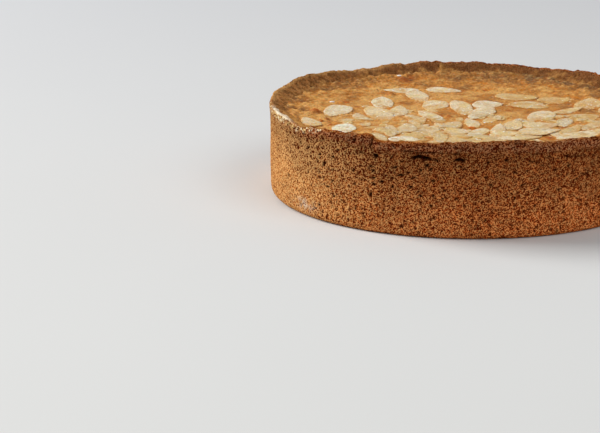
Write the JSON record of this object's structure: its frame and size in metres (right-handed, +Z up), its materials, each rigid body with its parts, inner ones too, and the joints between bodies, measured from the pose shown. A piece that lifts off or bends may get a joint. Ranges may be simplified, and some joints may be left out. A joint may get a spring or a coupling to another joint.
{
  "type": "shortbread cake",
  "caption": "Round, straight-sided shortbread cake: a browned crust with a raised, uneven rim around a baked filling strewn with flaked almonds; rests on its flat base.",
  "frame": {"origin": "centre of the flat underside", "axes": "+Z up along the cake's axis; -Y is the side that faces the picture's camera, +X is to its right"},
  "size_m": [0.2004, 0.1999, 0.0489],
  "materials": {
    "crust": "matte, porous baked shortbread, darker towards the rim",
    "filling": "golden baked surface with a soft sheen",
    "almond": "satin flaked almond, pale with toasted edges"
  },
  "bodies": {
    "root": {"crust": "crust", "filling": "filling"}
  },
  "joints": []
}
